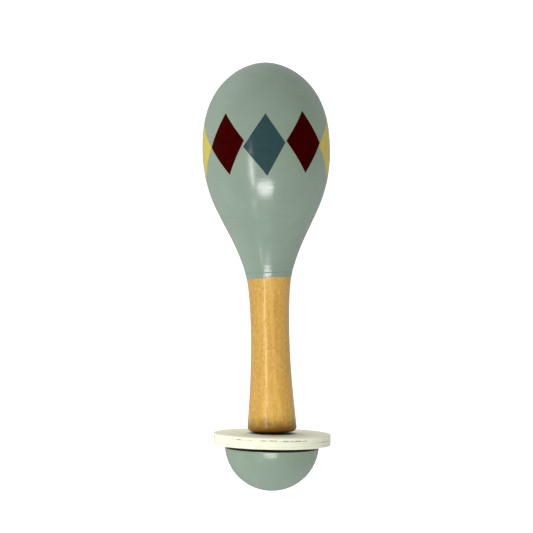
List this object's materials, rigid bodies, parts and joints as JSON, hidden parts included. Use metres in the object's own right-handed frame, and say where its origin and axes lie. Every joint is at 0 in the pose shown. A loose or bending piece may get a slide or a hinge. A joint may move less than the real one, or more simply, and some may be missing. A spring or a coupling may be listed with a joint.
{
  "type": "maraca",
  "caption": "Wooden hand maraca: hollow egg-shaped head with loose rattle pellets, waisted handle, and a loose clapper disc trapped above a half-ball end knob.",
  "frame": {"origin": "on the turning axis at the handle's waist, where the hand holds the maraca", "axes": "+Z along the turning axis from the end knob up to the head; +X to the right and -Y towards the viewer in the picture"},
  "size_m": [0.0594, 0.0594, 0.1996],
  "materials": {
    "sage_paint": "satin sage-green paint on turned wood",
    "honey_varnish": "clear honey-coloured varnish on turned hardwood",
    "cream_paint": "cream paint on plywood",
    "bare_dowel": "bare sanded dowel",
    "pellet_steel": "plain steel shot",
    "burgundy_paint": "satin burgundy paint of the diamonds",
    "slate_blue_paint": "satin slate-blue paint of the diamonds",
    "yellow_paint": "satin yellow paint of the diamonds"
  },
  "bodies": {
    "maraca": {"head_dome": "sage_paint", "head_funnel": "sage_paint", "handle": "honey_varnish", "spindle": "bare_dowel", "end_knob": "sage_paint"},
    "clapper": {"clapper_disc": "cream_paint"},
    "pellet_01": {"rattle_pellet_01": "pellet_steel"},
    "pellet_02": {"rattle_pellet_02": "pellet_steel"},
    "pellet_03": {"rattle_pellet_03": "pellet_steel"},
    "pellet_04": {"rattle_pellet_04": "pellet_steel"},
    "pellet_05": {"rattle_pellet_05": "pellet_steel"},
    "pellet_06": {"rattle_pellet_06": "pellet_steel"},
    "pellet_07": {"rattle_pellet_07": "pellet_steel"},
    "pellet_08": {"rattle_pellet_08": "pellet_steel"},
    "pellet_09": {"rattle_pellet_09": "pellet_steel"},
    "pellet_10": {"rattle_pellet_10": "pellet_steel"},
    "pellet_11": {"rattle_pellet_11": "pellet_steel"},
    "pellet_12": {"rattle_pellet_12": "pellet_steel"},
    "pellet_13": {"rattle_pellet_13": "pellet_steel"},
    "pellet_14": {"rattle_pellet_14": "pellet_steel"},
    "pellet_15": {"rattle_pellet_15": "pellet_steel"},
    "pellet_16": {"rattle_pellet_16": "pellet_steel"}
  },
  "joints": [
    {"name": "clapper_slide", "type": "slide", "parent": "maraca", "child": "clapper", "axis": [0.0384, 0, 0.9993], "range_m": [-0.0012, 0.0006]},
    {"name": "pellet_01_flight", "type": "slide", "parent": "maraca", "child": "pellet_01", "axis": [0, 0, 1], "range_m": [0, 0.0703]},
    {"name": "pellet_02_flight", "type": "slide", "parent": "maraca", "child": "pellet_02", "axis": [0, 0, 1], "range_m": [0, 0.07]},
    {"name": "pellet_03_flight", "type": "slide", "parent": "maraca", "child": "pellet_03", "axis": [0, 0, 1], "range_m": [0, 0.0698]},
    {"name": "pellet_04_flight", "type": "slide", "parent": "maraca", "child": "pellet_04", "axis": [0, 0, 1], "range_m": [0, 0.0696]},
    {"name": "pellet_05_flight", "type": "slide", "parent": "maraca", "child": "pellet_05", "axis": [0, 0, 1], "range_m": [0, 0.0693]},
    {"name": "pellet_06_flight", "type": "slide", "parent": "maraca", "child": "pellet_06", "axis": [0, 0, 1], "range_m": [0, 0.069]},
    {"name": "pellet_07_flight", "type": "slide", "parent": "maraca", "child": "pellet_07", "axis": [0, 0, 1], "range_m": [0, 0.0687]},
    {"name": "pellet_08_flight", "type": "slide", "parent": "maraca", "child": "pellet_08", "axis": [0, 0, 1], "range_m": [0, 0.0684]},
    {"name": "pellet_09_flight", "type": "slide", "parent": "maraca", "child": "pellet_09", "axis": [0, 0, 1], "range_m": [0, 0.0682]},
    {"name": "pellet_10_flight", "type": "slide", "parent": "maraca", "child": "pellet_10", "axis": [0, 0, 1], "range_m": [0, 0.068]},
    {"name": "pellet_11_flight", "type": "slide", "parent": "maraca", "child": "pellet_11", "axis": [0, 0, 1], "range_m": [0, 0.0677]},
    {"name": "pellet_12_flight", "type": "slide", "parent": "maraca", "child": "pellet_12", "axis": [0, 0, 1], "range_m": [0, 0.0675]},
    {"name": "pellet_13_flight", "type": "slide", "parent": "maraca", "child": "pellet_13", "axis": [0, 0, 1], "range_m": [0, 0.0673]},
    {"name": "pellet_14_flight", "type": "slide", "parent": "maraca", "child": "pellet_14", "axis": [0, 0, 1], "range_m": [0, 0.067]},
    {"name": "pellet_15_flight", "type": "slide", "parent": "maraca", "child": "pellet_15", "axis": [0, 0, 1], "range_m": [0, 0.0667]},
    {"name": "pellet_16_flight", "type": "slide", "parent": "maraca", "child": "pellet_16", "axis": [0, 0, 1], "range_m": [0, 0.0664]}
  ]
}
